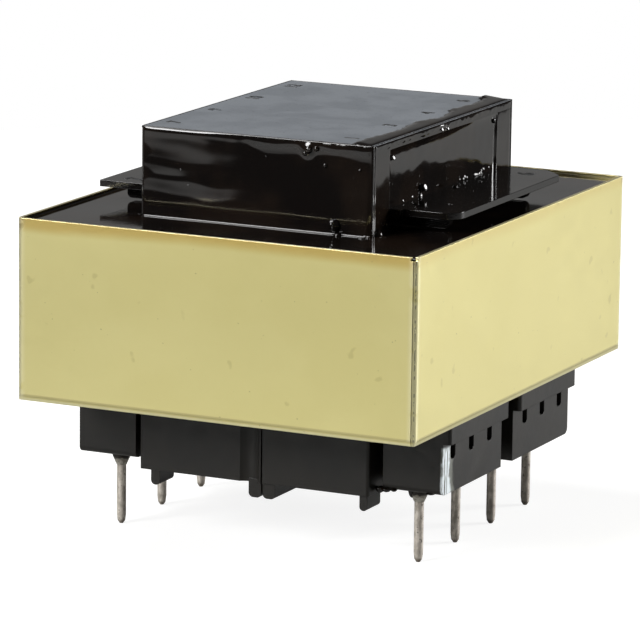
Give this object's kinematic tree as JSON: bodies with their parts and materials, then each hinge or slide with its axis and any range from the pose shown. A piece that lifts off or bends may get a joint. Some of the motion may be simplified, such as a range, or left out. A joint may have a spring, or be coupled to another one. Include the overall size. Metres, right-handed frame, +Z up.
{
  "type": "pcb transformer",
  "caption": "Low-profile power transformer for a circuit board: flat laminated core in a sheet-metal band, shrouded split bobbin, pin rails and standoff feet.",
  "frame": {"origin": "centre of the pin pattern, in the plane of the board's top face on which the standoff feet rest", "axes": "+Z up away from the board, X along the coil axis with the primary rail on +X, Y along the pin rails and the longer side of the core"},
  "size_m": [0.0406, 0.0486, 0.039],
  "materials": {
    "silicon_steel": "rolled silicon steel, dip-varnished dark brown-black",
    "plated_band": "thin steel sheet, zinc plated and yellow passivated, pale gold, satin",
    "bobbin_nylon": "black glass-filled nylon with a thin coat of varnish",
    "shroud_nylon": "black glass-filled nylon with a thin coat of varnish",
    "enamelled_wire": "copper wire under clear brown enamel",
    "film_wrap": "yellow polyester film tape",
    "solder": "tin-lead solder, dull under varnish",
    "tinned_pin": "hot-dip tinned copper-clad steel, dull"
  },
  "bodies": {
    "root": {"e_laminations": "silicon_steel", "i_laminations": "silicon_steel", "flux_band": "plated_band", "bobbin": "bobbin_nylon", "upper_shroud": "shroud_nylon", "lower_shroud_primary": "shroud_nylon", "lower_shroud_secondary": "shroud_nylon", "primary_winding": "enamelled_wire", "secondary_winding": "enamelled_wire", "primary_wrap": "film_wrap", "secondary_wrap": "film_wrap", "primary_leads": "enamelled_wire", "secondary_leads": "enamelled_wire", "solder_fillets": "solder", "pin_1": "tinned_pin", "pin_3": "tinned_pin", "pin_4": "tinned_pin", "pin_6": "tinned_pin", "pin_7": "tinned_pin", "pin_9": "tinned_pin", "pin_10": "tinned_pin", "pin_12": "tinned_pin"}
  },
  "joints": []
}
